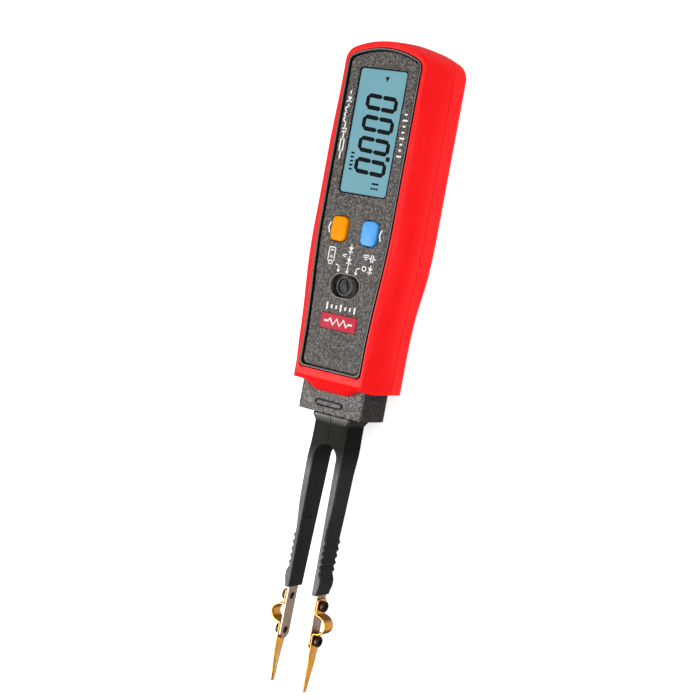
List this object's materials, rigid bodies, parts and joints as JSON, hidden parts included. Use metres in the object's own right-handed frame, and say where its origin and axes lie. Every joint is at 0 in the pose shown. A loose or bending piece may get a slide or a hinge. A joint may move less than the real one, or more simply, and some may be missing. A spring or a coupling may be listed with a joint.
{
  "type": "tweezer component tester",
  "caption": "Slim hand-held electronics tester with a display, push buttons and a slide switch, and tweezer arms with sprung contact tips.",
  "frame": {"origin": "centre of the bounding box's bottom face; the tool lies on its back", "axes": "+X along the tool towards the rounded head, with the contact tips at -X; +Y across the face, towards the orange button; +Z out of the display panel"},
  "size_m": [0.181, 0.035, 0.02],
  "materials": {
    "shell_red": "bright red satin-gloss moulded ABS",
    "panel_dark": "dark warm grey, finely speckled matte texture",
    "trim_black": "near-black satin rim",
    "window_clear": "clear polished window",
    "display_teal": "pale teal liquid crystal glass with dark segments",
    "white_plastic": "off-white moulded holder",
    "zebra_rubber": "pink layered silicone connector",
    "badge_red": "plain pinkish red badge",
    "button_orange": "orange moulded cap",
    "button_blue": "light blue moulded cap",
    "black_plastic": "black moulded plastic",
    "arm_black": "black satin moulded plastic",
    "neck_grey": "dark grey speckled matte plastic",
    "board_green": "green solder mask",
    "sheet_steel": "bright pressed steel",
    "contact_brass": "spring brass strip",
    "bar_nickel": "warm nickel-plated strip",
    "tip_gold": "gold-plated spring sheet",
    "dark_screw": "black oxide steel"
  },
  "bodies": {
    "housing": {"front_cover": "shell_red", "rear_cover": "shell_red", "case_screw_1": "dark_screw", "case_screw_2": "dark_screw", "case_screw_3": "dark_screw", "case_screw_4": "dark_screw", "front_panel": "panel_dark", "panel_trim": "trim_black", "display_window": "window_clear", "display_glass": "display_teal", "display_holder": "white_plastic", "zebra_strip_left": "zebra_rubber", "zebra_strip_right": "zebra_rubber", "badge_plate": "badge_red", "tact_switch_orange": "black_plastic", "tact_switch_blue": "black_plastic", "slide_switch": "sheet_steel", "main_board": "board_green", "measuring_chip": "black_plastic", "signal_chip": "black_plastic", "crystal_can": "sheet_steel", "buzzer": "black_plastic", "coin_cell": "sheet_steel", "cell_contact_negative": "contact_brass", "cell_contact_positive": "contact_brass", "input_strip_left": "contact_brass", "input_strip_right": "contact_brass", "neck_housing": "neck_grey", "tang_clamp": "black_plastic", "left_arm_root": "arm_black", "right_arm_root": "arm_black"},
    "left_arm": {"left_arm": "arm_black", "left_contact_bar": "bar_nickel", "left_contact_tip": "tip_gold", "left_tip_screw_1": "dark_screw", "left_tip_screw_2": "dark_screw"},
    "right_arm": {"right_arm": "arm_black", "right_contact_bar": "bar_nickel", "right_contact_tip": "tip_gold", "right_tip_screw_1": "dark_screw", "right_tip_screw_2": "dark_screw"},
    "orange_button": {"orange_button": "button_orange"},
    "blue_button": {"blue_button": "button_blue"},
    "switch_knob": {"switch_knob": "black_plastic"},
    "battery_cover": {"battery_cover": "shell_red"}
  },
  "joints": [
    {"name": "left_arm_flex", "type": "hinge", "parent": "housing", "child": "left_arm", "pos_m": [-0.0205, 0.00445, 0.00915], "axis": [0, 0, 1], "range_deg": [0, 4.2], "stiffness_Nm_per_rad": 0.6},
    {"name": "right_arm_flex", "type": "hinge", "parent": "housing", "child": "right_arm", "pos_m": [-0.0205, -0.00445, 0.00915], "axis": [0, 0, -1], "range_deg": [0, 4.2], "stiffness_Nm_per_rad": 0.6},
    {"name": "orange_button_press", "type": "slide", "parent": "housing", "child": "orange_button", "axis": [0, 0, -1], "range_m": [0, 0.0007], "stiffness_N_per_m": 1000, "springref_m": -0.0003},
    {"name": "blue_button_press", "type": "slide", "parent": "housing", "child": "blue_button", "axis": [0, 0, -1], "range_m": [0, 0.0007], "stiffness_N_per_m": 1000, "springref_m": -0.0003},
    {"name": "switch_slide", "type": "slide", "parent": "housing", "child": "switch_knob", "axis": [0, 1, 0], "range_m": [-0.0016, 0.0016]},
    {"name": "battery_cover_slide", "type": "slide", "parent": "housing", "child": "battery_cover", "axis": [-1, 0, 0], "range_m": [0, 0.026]}
  ]
}
